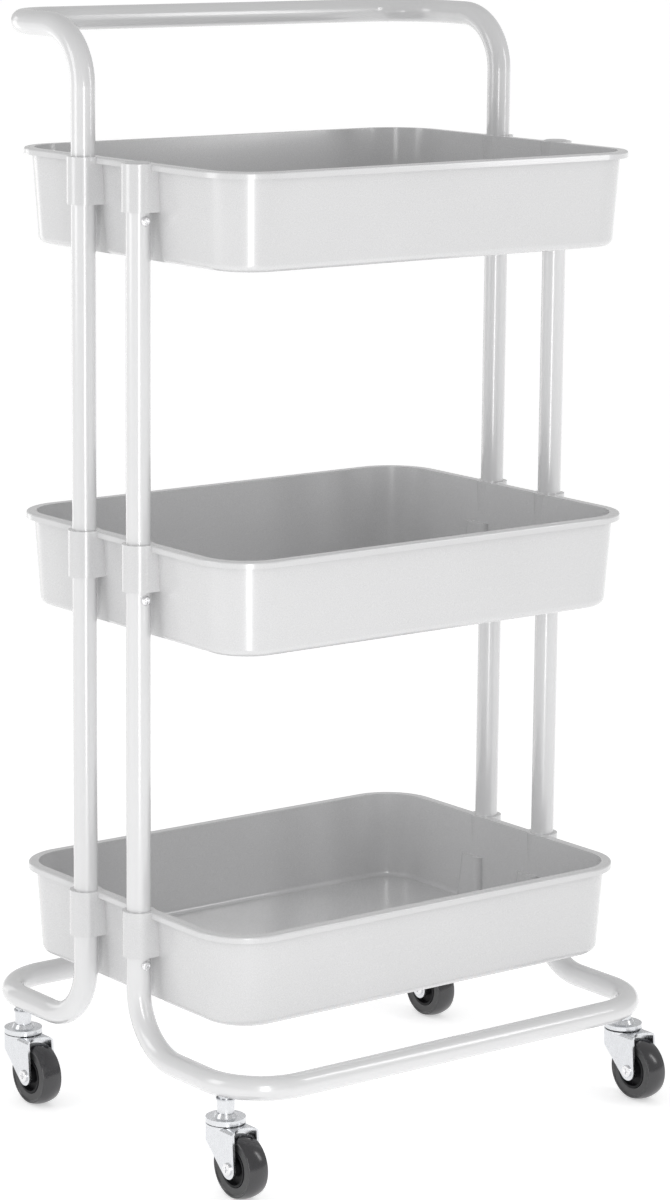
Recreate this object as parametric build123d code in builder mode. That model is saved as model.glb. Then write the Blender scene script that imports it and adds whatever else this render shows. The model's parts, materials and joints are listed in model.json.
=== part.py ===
from build123d import *
import math
import os

# Rolling utility cart: three moulded trays on four steel posts, a rear handle and four swivel casters.
# Millimetres. +X runs to the right along the trays, +Y to the rear, +Z up.
# The origin is on the floor, under the middle of the cart.

os.makedirs("parts", exist_ok=True)

# Steel tube of the frame
TUBE_R = 9.5
TUBE_WALL = 1.2
POST_X = 206.0            # post centres, left and right of the middle
POST_Y = 37.0             # post centres, in front of and behind the middle
FOOT_Z = 84.0             # centre of the foot tubes above the floor
FOOT_REACH = 180.0        # centre of each foot's cross rail, from the middle
FOOT_BEND = 50.0          # centre-line radius of the foot bends
HANDLE_Z = 875.5          # centre of the grab bar above the floor
HANDLE_REACH = 152.0      # centre of the grab bar behind the middle
HANDLE_BEND = 45.0        # centre-line radius of the handle bends

# Trays
RIM_Z = {"bottom": 197.5, "middle": 487.5, "top": 777.5}
TRAY_LENGTH = 406.0       # over the rolled rim, along X
TRAY_WIDTH = 312.0        # over the rolled rim, along Y
TRAY_HEIGHT = 75.0
TRAY_CORNER = 44.0        # rim corner radius seen from above
TRAY_WALL = 2.2
TRAY_FLOOR = 2.6
TRAY_DRAFT = 4.5          # how far the walls lean in over the whole height
TRAY_EDGE = 6.0           # rounding between wall and floor, outside
LIP_OVERHANG = 6.0        # rim beyond the wall
LIP_HEIGHT = 5.0
LIP_WALL = 1.8

# Collars that hold the trays on the posts
COLLAR_R = 12.8
COLLAR_HEIGHT = 36.5
JOINT_DROP = 18.0         # from the rim down to where two tubes meet inside a collar
SHOULDER_HALF = 1.0       # half the thickness of the shoulder clamped between the tube ends
SHOULDER_R = 8.7
CHANNEL_TOP_HALF = 9.5    # half width of the wall channel just under the collar
CHANNEL_FOOT_HALF = 13.5  # half width of the wall channel at the floor
CHANNEL_BACK_X = 189.0
CHANNEL_LEAN = 1.5        # how far the channel's back leans in towards the floor
CHANNEL_CORNER = 3.0      # rounding of the channel's corners
RIM_ROUND = 1.5           # rounding of the rim's outer edge

# Tube connectors, end caps and their screws
CONNECTOR_R = 8.2
CONNECTOR_WALL = 1.4
CONNECTOR_BELOW = 42.0
CONNECTOR_ABOVE = 36.0
SCREW_DROP = 43.0         # screw axis below the rim
SCREW_R = 1.9
SCREW_HEAD_R = 3.8
SCREW_HEAD = 2.6
SCREW_LENGTH = 6.5
SCREW_HEAD_ROUND = 1.7
SCREW_HOLE_R = 2.1        # hole in the tube, and SCREW_R is the thread in the connector
CROSS_LENGTH = 4.2        # cross recess of a screw head
CROSS_WIDTH = 1.0
CROSS_DEPTH = 1.5
CAP_PROUD = 1.0           # end cap above the rim
CAP_ROUND = 1.4

# Casters: wheel
WHEEL_R = 25.0
WHEEL_WIDTH = 18.0
TREAD_CROWN = 1.8         # drop of the tread from its middle to its shoulders
SHOULDER_ROUND = 0.9
SHOULDER_LAND = 1.4       # flat edge beside the tread
SIDE_RECESS = 0.8         # side wall behind the shoulder
HUB_R = 15.0
HUB_RIM = 1.7             # width of the hub's rim ring
HUB_RIM_PROUD = 0.3       # rim ring beyond the side wall
HUB_DISH = 4.2            # depth of the dish between rim ring and boss
HUB_DRAFT = 0.8
BOSS_R = 6.2
BOSS_PROUD = 0.8          # boss beyond the tyre's shoulders
AXLE_R = 3.0
AXLE_HEAD_R = 5.0
AXLE_HEAD = 1.7
AXLE_HEAD_ROUND = 0.9
AXLE_END = 1.4            # bolt end beyond the leg
AXLE_NUT = 1.8
AXLE_CROSS_LENGTH = 5.0
AXLE_CROSS_WIDTH = 1.1
AXLE_CROSS_DEPTH = 1.1
BUSH_R = 4.2

# Casters: fork
CASTER_TRAIL = 20.0       # axle ahead of the swivel axis, towards the front
CASTER_ANGLE = {"front": 22.0, "rear": 0.0}    # place of the stems around the feet's corner bends, degrees
FORK_TOP = 55.0
FORK_SHEET = 2.0
FORK_HALF = 12.5          # half the width over the legs
FORK_ROUND = 3.0          # outside radius of the fold between head and legs
FORK_REAR = 9.0           # leg behind the swivel axis
FORK_REAR_DROP = 14.0     # height of the leg's upright rear edge
FORK_FRONT = 25.5         # leg ahead of the swivel axis, at its top
FORK_NOTCH_R = 12.0       # round notch in the head's front edge, between the legs
FORK_NOTCH_OUT = 7.0      # centre of the notch ahead of that edge
LEG_END_R = 8.0

# Casters: ball race, stem and insert
CUP_R = 15.5
CUP_SHEET = 1.5
CUP_RIM_GAP = 0.7         # cup's rim above the fork
CUP_ROUND = 1.2
DOME_FOOT_R = 9.4
DOME_TOP_R = 7.6
DOME_HEIGHT = 4.6
BALL_R = 1.5
BALL_PITCH_R = 11.4
BALL_COUNT = 16
STEM_R = 4.0
RIVET_R = 6.0
RIVET_HEIGHT = 2.0
RIVET_CHAMFER = 0.8
COLLAR_ABOVE_CUP = 3.8
HEX_FLATS = 13.0
INSERT_R = 5.9
INSERT_FLANGE_R = 7.6
INSERT_FLANGE = 1.0

# Clearances
TUBE_GAP = 0.1            # between tube ends and shoulders, and between tube and collar
RUNNING_FIT = 0.08        # radial play of turning parts
FACE_GAP = 0.05           # between a fastener and the face it bears on
INSERT_PLAY = 0.1
CUT_PAST = 1.0            # how far a cutter runs past the face it opens

WALL_LENGTH = TRAY_LENGTH - 2 * LIP_OVERHANG
WALL_WIDTH = TRAY_WIDTH - 2 * LIP_OVERHANG
WALL_CORNER = TRAY_CORNER - LIP_OVERHANG
FOOT_CENTRE_X = POST_X - FOOT_BEND
FOOT_CENTRE_Y = FOOT_REACH - FOOT_BEND
POSTS = [(x, y) for x in (-POST_X, POST_X) for y in (-POST_Y, POST_Y)]
SIDES = {"left": -1, "right": 1}
ENDS = {"front": -1, "rear": 1}


def joint_height(tier):
    """Where the tubes below and above a tray meet."""
    return RIM_Z[tier] - JOINT_DROP


def screw_height(tier):
    return RIM_Z[tier] - SCREW_DROP


def stem_place(side, end_name):
    """Where a caster's stem stands, on the centre line of its foot's corner bend."""
    turn = math.radians(CASTER_ANGLE[end_name])
    return (side * (FOOT_CENTRE_X + FOOT_BEND * math.cos(turn)),
            ENDS[end_name] * (FOOT_CENTRE_Y + FOOT_BEND * math.sin(turn)))


def save(piece, label):
    """Label one finished piece and write its file."""
    piece.part.label = label
    export_step(piece.part, f"parts/{label}.step")


def ring(outer, inner):
    """Tube section drawn on the current sketch plane."""
    Circle(outer)
    Circle(inner, mode=Mode.SUBTRACT)


def across(x, y, z, end):
    """A location at a point whose own Z axis points out to the front (-1) or the rear (+1)."""
    return Location((x, y, z), (-90 * end, 0, 0))


# ---------------------------------------------------------------- frame tubes
def bent_tube(corners, bend, holes=()):
    """One tube bent round the given corners, with a hole drilled at each place and radius in holes."""
    with BuildPart() as tube:
        with BuildLine() as path:
            FilletPolyline(*corners, radius=bend)
        with BuildSketch(Plane(origin=path.line @ 0, z_dir=path.line % 0)):
            ring(TUBE_R, TUBE_R - TUBE_WALL)
        sweep()
        for place, radius in holes:
            with Locations(place):
                Cylinder(radius, TUBE_R, mode=Mode.SUBTRACT)
    return tube


def both_sides(half_path):
    """Corners of a path that runs on from the left half to its mirror image on the right."""
    return half_path + [(-x, y, z) for x, y, z in reversed(half_path)]


def foot_corners(end):
    top = joint_height("bottom") - SHOULDER_HALF - TUBE_GAP
    return both_sides([(-POST_X, end * POST_Y, top), (-POST_X, end * POST_Y, FOOT_Z),
                       (-POST_X, end * FOOT_REACH, FOOT_Z)])


def foot_holes(end_name):
    """Two holes for the caster inserts and two for the screws of the bottom tray."""
    end = ENDS[end_name]
    stems = [(Location((*stem_place(side, end_name), FOOT_Z - TUBE_R)), INSERT_R + INSERT_PLAY)
             for side in SIDES.values()]
    screws = [(across(side * POST_X, end * (POST_Y + TUBE_R), screw_height("bottom"), end), SCREW_HOLE_R)
              for side in SIDES.values()]
    return stems + screws


for end_name, end in ENDS.items():
    save(bent_tube(foot_corners(end), FOOT_BEND, foot_holes(end_name)), f"{end_name}_base_tube")

handle_low = joint_height("top") + SHOULDER_HALF + TUBE_GAP
handle_corners = both_sides([(-POST_X, POST_Y, handle_low), (-POST_X, POST_Y, HANDLE_Z),
                             (-POST_X, HANDLE_REACH, HANDLE_Z)])
save(bent_tube(handle_corners, HANDLE_BEND), "handle_tube")


def post(side, end, lower_tier, upper_tier):
    """Straight post between two trays, with one screw hole under the upper tray."""
    low = joint_height(lower_tier) + SHOULDER_HALF + TUBE_GAP
    high = joint_height(upper_tier) - SHOULDER_HALF - TUBE_GAP
    x, y = side * POST_X, end * POST_Y
    with BuildPart() as tube:
        with BuildSketch(Plane((x, y, low))):
            ring(TUBE_R, TUBE_R - TUBE_WALL)
        extrude(amount=high - low)
        with Locations(across(x, y + end * TUBE_R, screw_height(upper_tier), end)):
            Cylinder(SCREW_HOLE_R, TUBE_R, mode=Mode.SUBTRACT)
    return tube


for level, lower_tier, upper_tier in (("lower", "bottom", "middle"), ("upper", "middle", "top")):
    for side_name, side in SIDES.items():
        for end_name, end in ENDS.items():
            save(post(side, end, lower_tier, upper_tier), f"{level}_post_{end_name}_{side_name}")


# ---------------------------------------------------------------- trays
def channels(floor_z, grow):
    """The four drafted channels that the walls leave for the posts, larger by grow on every side."""
    outside = POST_X + TUBE_R
    sections = ((floor_z - CUT_PAST, CHANNEL_FOOT_HALF, CHANNEL_BACK_X - CHANNEL_LEAN),
                (floor_z + TRAY_HEIGHT - COLLAR_HEIGHT + grow, CHANNEL_TOP_HALF, CHANNEL_BACK_X))
    with BuildPart() as pockets:
        for x, y in POSTS:
            side = math.copysign(1, x)
            for z, half, back in sections:
                depth = outside - back + grow
                with BuildSketch(Plane((side * (outside - depth / 2), y, z))):
                    RectangleRounded(depth, 2 * (half + grow), CHANNEL_CORNER + grow)
            loft()
    return pockets


def cavity(floor_z):
    """The open inside of a tray, less the room that channels and collars take."""
    taper = TRAY_DRAFT * (TRAY_HEIGHT - TRAY_FLOOR) / TRAY_HEIGHT
    rim_z = floor_z + TRAY_HEIGHT
    channel_walls = channels(floor_z, TRAY_WALL)
    with BuildPart() as inside:
        for z, lean in ((floor_z + TRAY_FLOOR, taper), (rim_z, 0.0)):
            inset = 2 * (TRAY_WALL + lean)
            with BuildSketch(Plane.XY.offset(z)):
                RectangleRounded(WALL_LENGTH - inset, WALL_WIDTH - inset, WALL_CORNER - TRAY_WALL - lean / 2)
        loft()
        fillet(inside.edges().group_by(Axis.Z)[0], TRAY_EDGE - TRAY_WALL)
        with BuildSketch(Plane.XY.offset(rim_z)):
            RectangleRounded(WALL_LENGTH - 2 * TRAY_WALL, WALL_WIDTH - 2 * TRAY_WALL, WALL_CORNER - TRAY_WALL)
        extrude(amount=CUT_PAST)
        with BuildSketch(Plane.XY.offset(floor_z + TRAY_HEIGHT - COLLAR_HEIGHT - TRAY_WALL)):
            with Locations(*POSTS):
                Circle(COLLAR_R)
        extrude(amount=COLLAR_HEIGHT + 2 * TRAY_WALL, mode=Mode.SUBTRACT)
        add(channel_walls.part, mode=Mode.SUBTRACT)
    return inside


def tray(tier):
    """A moulded tray: drafted walls, rolled rim, four post collars and four wall channels."""
    rim_z = RIM_Z[tier]
    floor_z = rim_z - TRAY_HEIGHT
    joint_z = joint_height(tier)
    wall_channels = channels(floor_z, 0.0)
    inside = cavity(floor_z)
    with BuildPart() as body:
        for z, lean in ((floor_z, TRAY_DRAFT), (rim_z, 0.0)):
            with BuildSketch(Plane.XY.offset(z)):
                RectangleRounded(WALL_LENGTH - 2 * lean, WALL_WIDTH - 2 * lean, WALL_CORNER - lean / 2)
        loft()
        fillet(body.edges().group_by(Axis.Z)[0], TRAY_EDGE)
        # Rolled rim: a flat ledge with a turned-down skirt
        with BuildSketch(Plane.XY.offset(rim_z - LIP_WALL)):
            RectangleRounded(TRAY_LENGTH, TRAY_WIDTH, TRAY_CORNER)
        extrude(amount=LIP_WALL)
        with BuildSketch(Plane.XY.offset(rim_z - LIP_HEIGHT)):
            RectangleRounded(TRAY_LENGTH, TRAY_WIDTH, TRAY_CORNER)
            RectangleRounded(TRAY_LENGTH - 2 * LIP_WALL, TRAY_WIDTH - 2 * LIP_WALL, TRAY_CORNER - LIP_WALL,
                             mode=Mode.SUBTRACT)
        extrude(amount=LIP_HEIGHT - LIP_WALL)
        fillet(body.edges().group_by(Axis.Z)[-1], RIM_ROUND)
        add(wall_channels.part, mode=Mode.SUBTRACT)
        # Collars: round outside, straight sides running into the wall
        with BuildSketch(Plane.XY.offset(rim_z - COLLAR_HEIGHT)):
            for x, y in POSTS:
                inward = math.copysign(COLLAR_R, x)
                with Locations((x, y)):
                    Circle(COLLAR_R)
                with Locations((x - inward / 2, y)):
                    Rectangle(COLLAR_R, 2 * COLLAR_R)
        extrude(amount=COLLAR_HEIGHT)
        add(inside.part, mode=Mode.SUBTRACT)
        # Bores for the tubes below and above the clamped shoulder
        with BuildSketch(Plane.XY.offset(floor_z)):
            with Locations(*POSTS):
                Circle(TUBE_R + TUBE_GAP)
        extrude(amount=joint_z - SHOULDER_HALF - floor_z, mode=Mode.SUBTRACT)
        with BuildSketch(Plane.XY.offset(joint_z + SHOULDER_HALF)):
            with Locations(*POSTS):
                Circle(TUBE_R + TUBE_GAP)
        extrude(amount=JOINT_DROP, mode=Mode.SUBTRACT)
        with BuildSketch(Plane.XY.offset(joint_z - JOINT_DROP)):
            with Locations(*POSTS):
                Circle(SHOULDER_R)
        extrude(amount=2 * JOINT_DROP, mode=Mode.SUBTRACT)
    return body


for tier in RIM_Z:
    save(tray(tier), f"{tier}_tray")


# ---------------------------------------------------------------- connectors, end caps and screws
def screw_holes(tier, posts):
    """Drill the current part for the screws that enter the given posts."""
    for x, y in posts:
        end = math.copysign(1, y)
        with Locations(across(x, y + end * CONNECTOR_R, screw_height(tier), end)):
            Cylinder(SCREW_R + FACE_GAP, 2 * SCREW_LENGTH, mode=Mode.SUBTRACT)


def connectors(tier, posts):
    """Short inner tubes that join the tube below a tray to the one above it."""
    joint_z = joint_height(tier)
    with BuildPart() as sleeves:
        with BuildSketch(Plane.XY.offset(joint_z - CONNECTOR_BELOW)):
            with Locations(*posts):
                ring(CONNECTOR_R, CONNECTOR_R - CONNECTOR_WALL)
        extrude(amount=CONNECTOR_BELOW + CONNECTOR_ABOVE)
        screw_holes(tier, posts)
    return sleeves


rear_posts = [post_xy for post_xy in POSTS if post_xy[1] > 0]
front_posts = [post_xy for post_xy in POSTS if post_xy[1] < 0]
save(connectors("bottom", POSTS), "bottom_connectors")
save(connectors("middle", POSTS), "middle_connectors")
save(connectors("top", rear_posts), "top_connectors")

# End caps close the front posts, which stop inside the top tray's collars
cap_base = joint_height("top") + SHOULDER_HALF + TUBE_GAP
with BuildPart() as end_caps:
    with BuildSketch(Plane.XY.offset(cap_base)):
        with Locations(*front_posts):
            Circle(TUBE_R - TUBE_GAP)
    extrude(amount=RIM_Z["top"] + CAP_PROUD - cap_base)
    fillet(end_caps.edges().group_by(Axis.Z)[-1], CAP_ROUND)
    with BuildSketch(Plane.XY.offset(cap_base - CONNECTOR_BELOW)):
        with Locations(*front_posts):
            Circle(CONNECTOR_R)
    extrude(amount=CONNECTOR_BELOW)
    screw_holes("top", front_posts)
save(end_caps, "front_end_caps")


def screws(tier):
    """Pan-head screws that lock each connector or cap, heads to the front and to the rear."""
    with BuildPart() as group:
        for x, y in POSTS:
            end = math.copysign(1, y)
            seat = y + end * (TUBE_R + FACE_GAP)
            place = Plane(origin=(x, seat, screw_height(tier)), x_dir=(1, 0, 0), z_dir=(0, end, 0))
            with BuildSketch(place):
                Circle(SCREW_HEAD_R)
            head = extrude(amount=SCREW_HEAD)
            fillet(head.edges().sort_by(Axis.Y)[-1 if end > 0 else 0], SCREW_HEAD_ROUND)
            with BuildSketch(place):
                Circle(SCREW_R)
            extrude(amount=-SCREW_LENGTH)
            with BuildSketch(place.offset(SCREW_HEAD)):
                Rectangle(CROSS_LENGTH, CROSS_WIDTH)
                Rectangle(CROSS_WIDTH, CROSS_LENGTH)
            extrude(amount=-CROSS_DEPTH, mode=Mode.SUBTRACT)
    return group


for tier in RIM_Z:
    save(screws(tier), f"{tier}_screws")


# ---------------------------------------------------------------- caster mounting inserts
flange_z = FOOT_Z - TUBE_R - FACE_GAP

for end_name in ENDS:
    with BuildPart() as inserts:
        for side in SIDES.values():
            x, y = stem_place(side, end_name)
            with BuildSketch(Plane((x, y, flange_z - INSERT_FLANGE))):
                Circle(INSERT_FLANGE_R)
            extrude(amount=INSERT_FLANGE)
            with BuildSketch(Plane((x, y, flange_z))):
                Circle(INSERT_R)
            extrude(amount=TUBE_R)
            with BuildSketch(Plane((x, y, flange_z - INSERT_FLANGE))):
                Circle(STEM_R + FACE_GAP)
            extrude(amount=INSERT_FLANGE + TUBE_R, mode=Mode.SUBTRACT)
    save(inserts, f"{end_name}_stem_inserts")


# ---------------------------------------------------------------- casters
cup_low = FORK_TOP + CUP_RIM_GAP
ball_z = FORK_TOP + BALL_R + RUNNING_FIT
cup_ceiling = ball_z + BALL_R + RUNNING_FIT
cup_top = cup_ceiling + DOME_HEIGHT
hex_low = cup_top + COLLAR_ABOVE_CUP
hex_top = flange_z - INSERT_FLANGE - FACE_GAP
stem_top = flange_z + TUBE_R - CUT_PAST
rivet_top = FORK_TOP - FORK_SHEET - RUNNING_FIT
rivet_low = rivet_top - RIVET_HEIGHT
axle_seat = FORK_HALF + FACE_GAP


def half_section(x, y, z):
    """Upright plane seen from the front, for profiles that turn round an axis through x, y, z."""
    return Plane(origin=(x, y, z), x_dir=(1, 0, 0), z_dir=(0, -1, 0))


def axle_plane(x, y, offset):
    """Plane across the axle of the caster whose stem is at x, y; offset is measured along +X."""
    return Plane(origin=(x + offset, y - CASTER_TRAIL, WHEEL_R), x_dir=(0, 1, 0), z_dir=(1, 0, 0))


def axle_axis(x, y):
    return Axis((x, y - CASTER_TRAIL, WHEEL_R), (1, 0, 0))


def stem(x, y):
    """Stem with its hexagon, running down as the kingpin to a riveted head."""
    with BuildPart() as pin:
        with BuildSketch(Plane((x, y, rivet_low))):
            Circle(RIVET_R)
        extrude(amount=RIVET_HEIGHT)
        chamfer(pin.edges().group_by(Axis.Z)[0], RIVET_CHAMFER)
        with BuildSketch(Plane((x, y, rivet_top))):
            Circle(STEM_R)
        extrude(amount=stem_top - rivet_top)
        with BuildSketch(Plane((x, y, cup_top + FACE_GAP))):
            Circle(HEX_FLATS / 2)
        extrude(amount=hex_low - cup_top)
        with BuildSketch(Plane((x, y, hex_low))):
            RegularPolygon(HEX_FLATS / 2, 6, major_radius=False)
        extrude(amount=hex_top - hex_low)
    return pin


def cup(x, y):
    """Pressed steel cup over the ball race, domed up to the stem."""
    bore = STEM_R + FACE_GAP
    skirt_top = cup_ceiling + CUP_SHEET
    with BuildPart() as shell:
        with BuildSketch(half_section(x, y, 0)) as profile:
            with BuildLine():
                Polyline(
                    (CUP_R - CUP_SHEET, cup_low), (CUP_R, cup_low), (CUP_R, skirt_top),
                    (DOME_FOOT_R, skirt_top), (DOME_TOP_R, cup_top), (bore, cup_top),
                    (bore, cup_top - CUP_SHEET), (DOME_TOP_R - CUP_SHEET, cup_top - CUP_SHEET),
                    (DOME_FOOT_R - CUP_SHEET, cup_ceiling), (CUP_R - CUP_SHEET, cup_ceiling),
                    close=True,
                )
            make_face()
            fillet(profile.vertices().sort_by_distance((x + CUP_R, y, skirt_top))[0], CUP_ROUND)
            fillet(profile.vertices().sort_by_distance((x + DOME_TOP_R, y, cup_top))[0], CUP_ROUND)
        revolve(axis=Axis((x, y, 0), (0, 0, 1)))
    return shell


def balls(x, y):
    """Ring of bearing balls between the fork and the cup."""
    with BuildPart() as race:
        with Locations((x, y, ball_z)):
            with PolarLocations(BALL_PITCH_R, BALL_COUNT):
                Sphere(BALL_R)
    return race


def fork(x, y):
    """Sheet-steel fork: round head plate and two legs that sweep forward to the axle."""
    inner_half = FORK_HALF - FORK_SHEET
    with BuildPart() as legs:
        with BuildSketch(half_section(x, y + FORK_REAR, 0)) as arch:
            with Locations((0, FORK_TOP / 2)):
                Rectangle(2 * FORK_HALF, FORK_TOP)
            fillet(arch.vertices().group_by(Axis.Z)[-1], FORK_ROUND)
            with Locations((0, (FORK_TOP - FORK_SHEET) / 2)):
                Rectangle(2 * inner_half, FORK_TOP - FORK_SHEET, mode=Mode.SUBTRACT)
        extrude(amount=FORK_REAR + CASTER_TRAIL + LEG_END_R)
        # Outline of the legs seen from the side
        with BuildSketch(Plane(origin=(x, y, 0), x_dir=(0, 1, 0), z_dir=(1, 0, 0))):
            with BuildLine():
                Polyline((FORK_REAR, FORK_TOP - FORK_REAR_DROP), (FORK_REAR, FORK_TOP),
                         (-FORK_FRONT, FORK_TOP))
                CenterArc((-CASTER_TRAIL, WHEEL_R), LEG_END_R, 180, 180)
            make_hull()
        extrude(amount=FORK_HALF + CUT_PAST, both=True, mode=Mode.INTERSECT)
        with BuildSketch(Plane((x, y, FORK_TOP - FORK_SHEET))):
            Circle(CUP_R)
        extrude(amount=FORK_SHEET)
        with Locations((x, y, FORK_TOP)):
            Cylinder(STEM_R + RUNNING_FIT, 4 * FORK_SHEET, mode=Mode.SUBTRACT)
        with Locations((x, y - FORK_FRONT - FORK_NOTCH_OUT, FORK_TOP)):
            Cylinder(FORK_NOTCH_R, 4 * FORK_SHEET, mode=Mode.SUBTRACT)
        with Locations(Location((x, y - CASTER_TRAIL, WHEEL_R), (0, 90, 0))):
            Cylinder(AXLE_R + FACE_GAP, 4 * FORK_HALF, mode=Mode.SUBTRACT)
    return legs


def axle_bolt(x, y):
    """Bolt through both legs, with its round head and cross recess on the left."""
    with BuildPart() as bolt:
        with BuildSketch(axle_plane(x, y, -axle_seat)):
            Circle(AXLE_HEAD_R)
        extrude(amount=-AXLE_HEAD)
        fillet(bolt.edges().sort_by(Axis.X)[0], AXLE_HEAD_ROUND)
        with BuildSketch(axle_plane(x, y, -axle_seat - AXLE_HEAD)):
            Rectangle(AXLE_CROSS_LENGTH, AXLE_CROSS_WIDTH)
            Rectangle(AXLE_CROSS_WIDTH, AXLE_CROSS_LENGTH)
        extrude(amount=AXLE_CROSS_DEPTH, mode=Mode.SUBTRACT)
        with BuildSketch(axle_plane(x, y, -axle_seat)):
            Circle(AXLE_R)
        extrude(amount=2 * axle_seat + AXLE_END)
    return bolt


def axle_nut(x, y):
    with BuildPart() as nut:
        with BuildSketch(axle_plane(x, y, axle_seat)):
            RegularPolygon(AXLE_HEAD_R, 6, major_radius=False)
            Circle(AXLE_R + FACE_GAP, mode=Mode.SUBTRACT)
        extrude(amount=AXLE_NUT)
    return nut


def bush(x, y):
    """Steel spacer that the wheel turns on, clamped between the legs."""
    half = FORK_HALF - FORK_SHEET - FACE_GAP
    with BuildPart() as spacer:
        with BuildSketch(axle_plane(x, y, -half)):
            ring(BUSH_R, AXLE_R + FACE_GAP)
        extrude(amount=2 * half)
    return spacer


def tyre(x, y):
    """Solid tyre: crowned tread, narrow flat shoulders and recessed side walls."""
    shoulder = WHEEL_WIDTH / 2
    wall = shoulder - SIDE_RECESS
    land_top = WHEEL_R - TREAD_CROWN
    land_foot = land_top - SHOULDER_LAND
    side = [(shoulder, land_top), (shoulder, land_foot), (wall, land_foot - SIDE_RECESS), (wall, HUB_R)]
    with BuildPart() as spun:
        with BuildSketch(half_section(x, y - CASTER_TRAIL, WHEEL_R)) as profile:
            with BuildLine():
                ThreePointArc((-shoulder, land_top), (0, WHEEL_R), (shoulder, land_top))
                Polyline(*side, *[(-along, radius) for along, radius in reversed(side)])
            make_face()
            fillet(profile.vertices().group_by(Axis.Z)[-1], SHOULDER_ROUND)
        revolve(axis=axle_axis(x, y))
    return spun


def hub(x, y):
    """Hub with a raised rim ring, a dish and a boss that nearly reaches the fork's legs."""
    face = WHEEL_WIDTH / 2 - SIDE_RECESS + HUB_RIM_PROUD
    boss = WHEEL_WIDTH / 2 + BOSS_PROUD
    dish = face - HUB_DISH
    bore = BUSH_R + RUNNING_FIT
    side = [(boss, bore), (boss, BOSS_R), (dish, BOSS_R + HUB_DRAFT), (dish, HUB_R - HUB_RIM - HUB_DRAFT),
            (face, HUB_R - HUB_RIM), (face, HUB_R)]
    with BuildPart() as spun:
        with BuildSketch(half_section(x, y - CASTER_TRAIL, WHEEL_R)):
            with BuildLine():
                Polyline(*side, *[(-along, radius) for along, radius in reversed(side)], close=True)
            make_face()
        revolve(axis=axle_axis(x, y))
    return spun


CASTER_PIECES = {"stem": stem, "cup": cup, "balls": balls, "fork": fork, "axle_bolt": axle_bolt,
                 "axle_nut": axle_nut, "bush": bush, "tyre": tyre, "hub": hub}
for end_name in ENDS:
    for side_name, side in SIDES.items():
        for piece_name, make in CASTER_PIECES.items():
            save(make(*stem_place(side, end_name)), f"{end_name}_{side_name}_caster_{piece_name}")
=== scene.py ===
import json
import math

import bpy
from mathutils import Matrix, Vector


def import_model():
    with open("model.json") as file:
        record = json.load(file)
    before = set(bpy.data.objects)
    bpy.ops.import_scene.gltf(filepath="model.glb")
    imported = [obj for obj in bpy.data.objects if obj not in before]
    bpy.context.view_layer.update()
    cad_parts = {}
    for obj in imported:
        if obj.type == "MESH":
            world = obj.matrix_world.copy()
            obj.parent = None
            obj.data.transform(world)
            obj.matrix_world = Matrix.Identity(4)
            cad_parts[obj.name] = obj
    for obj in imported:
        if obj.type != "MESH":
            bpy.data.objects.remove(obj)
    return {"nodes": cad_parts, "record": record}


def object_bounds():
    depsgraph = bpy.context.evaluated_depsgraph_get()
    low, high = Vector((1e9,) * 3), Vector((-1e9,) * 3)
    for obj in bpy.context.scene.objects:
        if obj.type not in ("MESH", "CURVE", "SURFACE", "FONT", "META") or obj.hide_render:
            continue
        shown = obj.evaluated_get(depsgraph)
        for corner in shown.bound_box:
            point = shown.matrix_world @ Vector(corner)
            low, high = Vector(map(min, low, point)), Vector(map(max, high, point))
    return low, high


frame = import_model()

# The looks of a rolling utility cart. Metres throughout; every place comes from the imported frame.
CAD_LOW, CAD_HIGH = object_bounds()
NODES = frame["nodes"]
SLOT_OF = {part["node"]: part["material_slot"] for part in frame["record"]["subparts"]}
MM = 0.001

# Camera
CAMERA_AZIMUTH = math.radians(-37.46)    # from straight in front, towards the cart's left
CAMERA_DOWN = math.radians(11.29)
CAMERA_ROLL = math.radians(0.53)
CAMERA_LENS = 115.46                     # mm, for a 36 mm sensor along the picture's long side
CAMERA_PLACE = (-1.8456, -2.4247, 1.0224)

# Studio
FLOOR_HALF = 40.0
FLOOR_COLOUR = (0.90, 0.90, 0.90)
FLOOR_GLOW = 0.46                        # light that comes up through the translucent white floor
WORLD_COLOUR = (1.0, 1.0, 1.0)
WORLD_STRENGTH = 0.61

# Finish of each material: colours are linear red, green and blue
ENAMEL_COLOUR = (0.70, 0.70, 0.705)
TRAY_COLOUR = (0.63, 0.63, 0.635)
CAP_COLOUR = (0.70, 0.70, 0.705)
ZINC_COLOUR = (0.74, 0.75, 0.77)
SCREW_COLOUR = (0.86, 0.86, 0.87)
STEEL_COLOUR = (0.62, 0.63, 0.65)
BALL_COLOUR = (0.80, 0.80, 0.82)
TYRE_COLOUR = (0.006, 0.0055, 0.0075)
SIDEWALL_COLOUR = (0.012, 0.012, 0.013)
HUB_COLOUR = (0.008, 0.008, 0.009)

# The tyre's flat sides are told from its tread by how far their normals point sideways
TREAD_ROUGHNESS = (0.18, 0.24)
SIDEWALL_ROUGHER_BY = 0.3
SIDEWALL_STARTS, SIDEWALL_FULL = 0.9, 0.985


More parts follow.
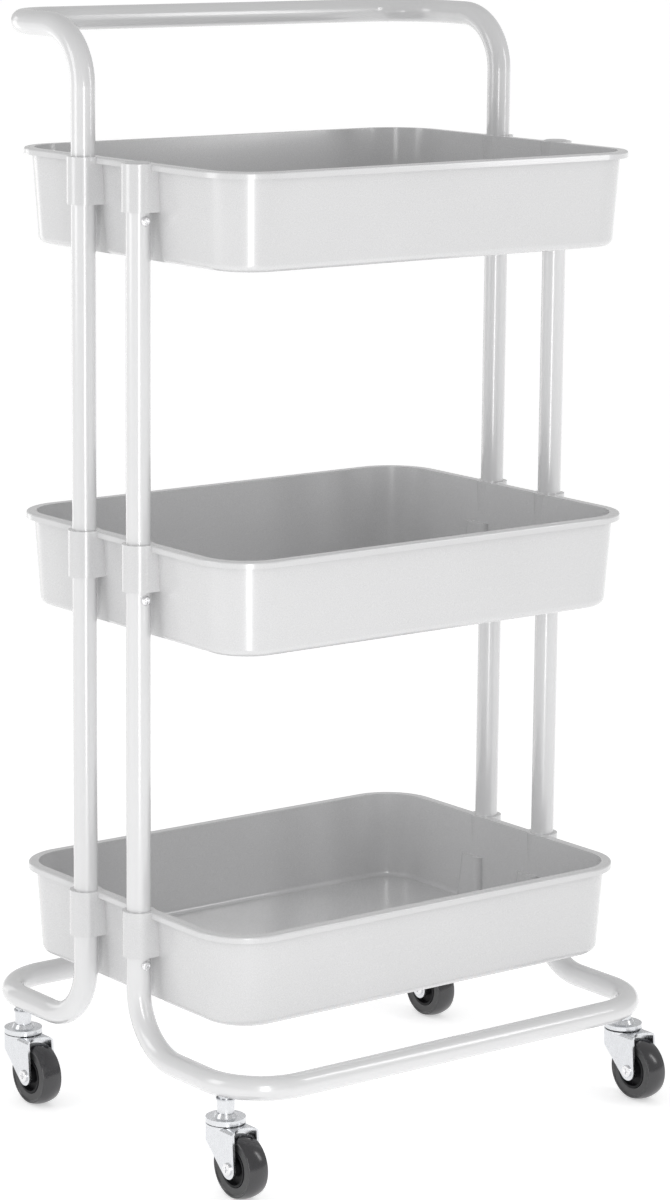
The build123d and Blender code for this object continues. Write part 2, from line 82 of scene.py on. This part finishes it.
# ---------------------------------------------------------------- node helpers
class Shader:
    """A material being built: its node tree, its main shader and its coordinates in metres."""

    def __init__(self, name):
        self.material = bpy.data.materials.new(name)
        self.material.use_nodes = True
        self.tree = self.material.node_tree
        self.surface = self.tree.nodes["Principled BSDF"]
        self.place = self.tree.nodes.new("ShaderNodeTexCoord").outputs["Object"]

    def node(self, kind, **inputs):
        made = self.tree.nodes.new(kind)
        for socket, value in inputs.items():
            made.inputs[socket].default_value = value
        return made

    def link(self, start, end):
        self.tree.links.new(start, end)

    def fix(self, **values):
        """Uniform values, set on the main shader's own sockets."""
        for socket, value in values.items():
            self.surface.inputs[socket.replace("_", " ")].default_value = value

    def noise(self, grain, detail=2.0, roughness=0.5, stretch=None):
        """Noise with features about grain metres across, stretched along an axis if asked."""
        made = self.node("ShaderNodeTexNoise", Scale=1.0 / grain, Detail=detail, Roughness=roughness)
        if stretch is None:
            self.link(self.place, made.inputs["Vector"])
        else:
            mapping = self.node("ShaderNodeMapping", Scale=stretch)
            self.link(self.place, mapping.inputs["Vector"])
            self.link(mapping.outputs["Vector"], made.inputs["Vector"])
        return made.outputs["Fac"]

    def span(self, source, low, high, start=0.3, end=0.7):
        """Rescale a 0 to 1 value: start becomes low, end becomes high."""
        made = self.tree.nodes.new("ShaderNodeMapRange")
        made.inputs["From Min"].default_value = start
        made.inputs["From Max"].default_value = end
        made.inputs["To Min"].default_value = low
        made.inputs["To Max"].default_value = high
        self.link(source, made.inputs["Value"])
        return made.outputs["Result"]

    def mix(self, share, first, second):
        """Mix of two colours, or of a colour source and a colour, by share."""
        made = self.tree.nodes.new("ShaderNodeMix")
        made.data_type = "RGBA"
        self.link(share, made.inputs["Factor"])
        for socket, colour in (("A", first), ("B", second)):
            target = [i for i in made.inputs if i.name == socket and i.type == "RGBA"][0]
            if hasattr(colour, "links"):
                self.link(colour, target)
            else:
                target.default_value = (*colour, 1.0)
        return [o for o in made.outputs if o.type == "RGBA"][0]

    def bump(self, height, depth, after=None):
        """Relief of the given depth in metres, on top of an earlier relief."""
        made = self.node("ShaderNodeBump", Strength=1.0, Distance=depth)
        self.link(height, made.inputs["Height"])
        if after is not None:
            self.link(after, made.inputs["Normal"])
        return made.outputs["Normal"]

    def colour(self, source):
        self.link(source, self.surface.inputs["Base Color"])

    def rough(self, source):
        self.link(source, self.surface.inputs["Roughness"])

    def relief(self, source):
        self.link(source, self.surface.inputs["Normal"])


def shade(colour, factor):
    """The same colour, darker or lighter."""
    return tuple(channel * factor for channel in colour)


# ---------------------------------------------------------------- materials
def enamel():
    """White powder coat: shallow orange peel, fine specks and slightly uneven gloss."""
    m = Shader("frame_enamel")
    cloud = m.noise(45 * MM, detail=3.0)
    m.colour(m.mix(m.span(cloud, 0.0, 1.0), shade(ENAMEL_COLOUR, 0.985), ENAMEL_COLOUR))
    m.rough(m.span(m.noise(1.2 * MM, detail=2.0), 0.21, 0.26))
    peel = m.bump(m.noise(1.4 * MM, detail=1.0), 0.0025 * MM)
    m.relief(m.bump(m.noise(0.4 * MM, detail=1.0), 0.0008 * MM, after=peel))
    m.fix(IOR=1.5, Specular_IOR_Level=1.0, Coat_Weight=1.0, Coat_Roughness=0.12)
    return m.material


def tray_plastic():
    """White moulded plastic with a fine sparkling grain and faint flow marks."""
    m = Shader("tray_plastic")
    cloud = m.noise(60 * MM, detail=4.0)
    grain = m.noise(0.5 * MM, detail=2.0, roughness=0.6)
    base = m.mix(m.span(cloud, 0.0, 1.0), shade(TRAY_COLOUR, 0.975), TRAY_COLOUR)
    m.colour(m.mix(m.span(grain, 0.0, 0.22, start=0.52, end=0.72), base, shade(TRAY_COLOUR, 0.9)))
    m.rough(m.span(grain, 0.22, 0.32))
    flow = m.bump(m.noise(24 * MM, detail=1.0), 0.02 * MM)
    m.relief(m.bump(grain, 0.007 * MM, after=flow))
    m.fix(IOR=1.49, Specular_IOR_Level=1.0, Coat_Weight=1.0, Coat_Roughness=0.14)
    return m.material


def cap_plastic():
    """White plastic of the end caps, a little more matt than the trays."""
    m = Shader("cap_plastic")
    m.colour(m.mix(m.span(m.noise(12 * MM), 0.0, 1.0), shade(CAP_COLOUR, 0.96), CAP_COLOUR))
    m.rough(m.span(m.noise(2 * MM), 0.3, 0.42))
    m.relief(m.bump(m.noise(0.6 * MM), 0.015 * MM))
    m.fix(IOR=1.49)
    return m.material


def zinc(name, colour, brushed):
    """Bright zinc plating: metal with soft cloudy patches and fine drawing lines."""
    m = Shader(name)
    cloud = m.noise(7 * MM, detail=4.0, roughness=0.6)
    lines = m.noise(0.5 * MM, detail=3.0, stretch=(1.0, 1.0, 0.08) if brushed else None)
    m.colour(m.mix(m.span(cloud, 0.0, 1.0), shade(colour, 0.955), colour))
    m.rough(m.span(lines, 0.22, 0.3))
    m.relief(m.bump(lines, 0.0015 * MM))
    m.fix(Metallic=1.0)
    return m.material


def polished_ball():
    """Polished steel of the caster balls."""
    m = Shader("ball_steel")
    m.colour(m.mix(m.span(m.noise(1 * MM), 0.0, 1.0), shade(BALL_COLOUR, 0.95), BALL_COLOUR))
    m.rough(m.span(m.noise(0.6 * MM), 0.08, 0.14))
    m.fix(Metallic=1.0)
    return m.material


def tyre_rubber():
    """Hard black tyre: glossy tread, greyer matt sidewalls with a moulded grain."""
    m = Shader("tyre_black")
    facing = m.tree.nodes.new("ShaderNodeSeparateXYZ")
    m.link(m.tree.nodes["Texture Coordinate"].outputs["Normal"], facing.inputs["Vector"])
    sideways = m.node("ShaderNodeMath")
    sideways.operation = "ABSOLUTE"
    m.link(facing.outputs["X"], sideways.inputs[0])
    wall = m.span(sideways.outputs["Value"], 0.0, 1.0, start=SIDEWALL_STARTS, end=SIDEWALL_FULL)
    dust = m.noise(2.5 * MM, detail=4.0, roughness=0.65)
    tread = m.mix(m.span(dust, 0.0, 1.0), TYRE_COLOUR, shade(TYRE_COLOUR, 1.6))
    side = m.mix(m.span(dust, 0.0, 1.0), SIDEWALL_COLOUR, shade(SIDEWALL_COLOUR, 1.25))
    m.colour(m.mix(wall, tread, side))
    gloss = m.node("ShaderNodeMath")
    gloss.operation = "MULTIPLY_ADD"
    m.link(wall, gloss.inputs[0])
    gloss.inputs[1].default_value = SIDEWALL_ROUGHER_BY
    m.link(m.span(dust, *TREAD_ROUGHNESS), gloss.inputs[2])
    m.rough(gloss.outputs["Value"])
    m.relief(m.bump(m.noise(0.7 * MM, detail=2.0), 0.003 * MM))
    m.fix(IOR=1.5, Specular_IOR_Level=1.0)
    return m.material


def hub_plastic():
    """Black plastic of the hubs, duller than the tread."""
    m = Shader("hub_black")
    m.colour(m.mix(m.span(m.noise(3 * MM, detail=3.0), 0.0, 1.0), HUB_COLOUR, shade(HUB_COLOUR, 1.7)))
    m.rough(m.span(m.noise(1.5 * MM), 0.38, 0.52))
    m.relief(m.bump(m.noise(0.5 * MM), 0.01 * MM))
    m.fix(IOR=1.49, Specular_IOR_Level=0.15)
    return m.material


MATERIALS = {
    "frame_enamel": enamel(),
    "tray_plastic": tray_plastic(),
    "cap_plastic": cap_plastic(),
    "caster_zinc": zinc("caster_zinc", ZINC_COLOUR, True),
    "screw_zinc": zinc("screw_zinc", SCREW_COLOUR, False),
    "connector_steel": zinc("connector_steel", STEEL_COLOUR, True),
    "ball_steel": polished_ball(),
    "tyre_black": tyre_rubber(),
    "hub_black": hub_plastic(),
}

for name, piece in NODES.items():
    piece.data.materials.clear()
    piece.data.materials.append(MATERIALS[SLOT_OF[name]])
    for face in piece.data.polygons:
        face.material_index = 0


# ---------------------------------------------------------------- studio
def floor():
    """Large plain white floor under the cart."""
    mesh = bpy.data.meshes.new("floor")
    corners = [(x * FLOOR_HALF, y * FLOOR_HALF, CAD_LOW.z) for x, y in ((-1, -1), (1, -1), (1, 1), (-1, 1))]
    mesh.from_pydata(corners, [], [(0, 1, 2, 3)])
    made = bpy.data.objects.new("floor", mesh)
    bpy.context.scene.collection.objects.link(made)
    paint = Shader("floor_paint")
    paint.fix(Base_Color=(*FLOOR_COLOUR, 1.0), Roughness=0.9, Specular_IOR_Level=0.1,
              Emission_Color=(1.0, 1.0, 1.0, 1.0), Emission_Strength=FLOOR_GLOW)
    mesh.materials.append(paint.material)


def softbox(name, azimuth, height, distance, size, power):
    """Area light aimed at the cart's middle; azimuth 0 is in front, 90 to the right."""
    middle = (CAD_LOW + CAD_HIGH) / 2
    turn = math.radians(azimuth)
    spot = Vector((math.sin(turn) * distance, -math.cos(turn) * distance, height))
    light = bpy.data.lights.new(name, "AREA")
    light.shape = "RECTANGLE"
    light.size, light.size_y = size
    light.energy = power
    made = bpy.data.objects.new(name, light)
    made.location = spot
    made.rotation_euler = (middle - spot).to_track_quat("-Z", "Y").to_euler()
    made.visible_camera = False
    bpy.context.scene.collection.objects.link(made)


def world():
    """Even white sky light."""
    sky = bpy.data.worlds.new("studio")
    sky.use_nodes = True
    sky.node_tree.nodes["Background"].inputs["Color"].default_value = (*WORLD_COLOUR, 1.0)
    sky.node_tree.nodes["Background"].inputs["Strength"].default_value = WORLD_STRENGTH
    bpy.context.scene.world = sky


def camera():
    """Camera placed by its azimuth, its angle down and a small roll."""
    data = bpy.data.cameras.new("camera")
    data.lens = CAMERA_LENS
    data.clip_end = 3 * FLOOR_HALF
    made = bpy.data.objects.new("camera", data)
    forward = Vector((-math.sin(CAMERA_AZIMUTH) * math.cos(CAMERA_DOWN),
                      math.cos(CAMERA_AZIMUTH) * math.cos(CAMERA_DOWN), -math.sin(CAMERA_DOWN)))
    level = Vector((math.cos(CAMERA_AZIMUTH), math.sin(CAMERA_AZIMUTH), 0.0))
    upright = level.cross(forward)
    right = level * math.cos(CAMERA_ROLL) + upright * math.sin(CAMERA_ROLL)
    up = upright * math.cos(CAMERA_ROLL) - level * math.sin(CAMERA_ROLL)
    turn = Matrix((right, up, -forward)).transposed().to_4x4()
    made.matrix_world = Matrix.Translation(CAMERA_PLACE) @ turn
    bpy.context.scene.collection.objects.link(made)
    bpy.context.scene.camera = made


floor()
world()
# Upright surfaces mirror what lies below their own height, so the key reaches down to the floor.
# The kicker is for the front tyres' treads, and stands high enough not to show in the trays' fronts.
softbox("key", azimuth=-32.0, height=0.45, distance=1.3, size=(0.24, 0.9), power=3.5)
softbox("kicker", azimuth=40.0, height=1.05, distance=1.5, size=(0.2, 0.9), power=2.4)
softbox("side", azimuth=-105.0, height=1.0, distance=2.0, size=(0.8, 1.2), power=5.5)
softbox("rim", azimuth=-168.0, height=0.7, distance=2.2, size=(0.6, 1.4), power=2.0)
camera()
bpy.context.scene.view_settings.view_transform = "Standard"
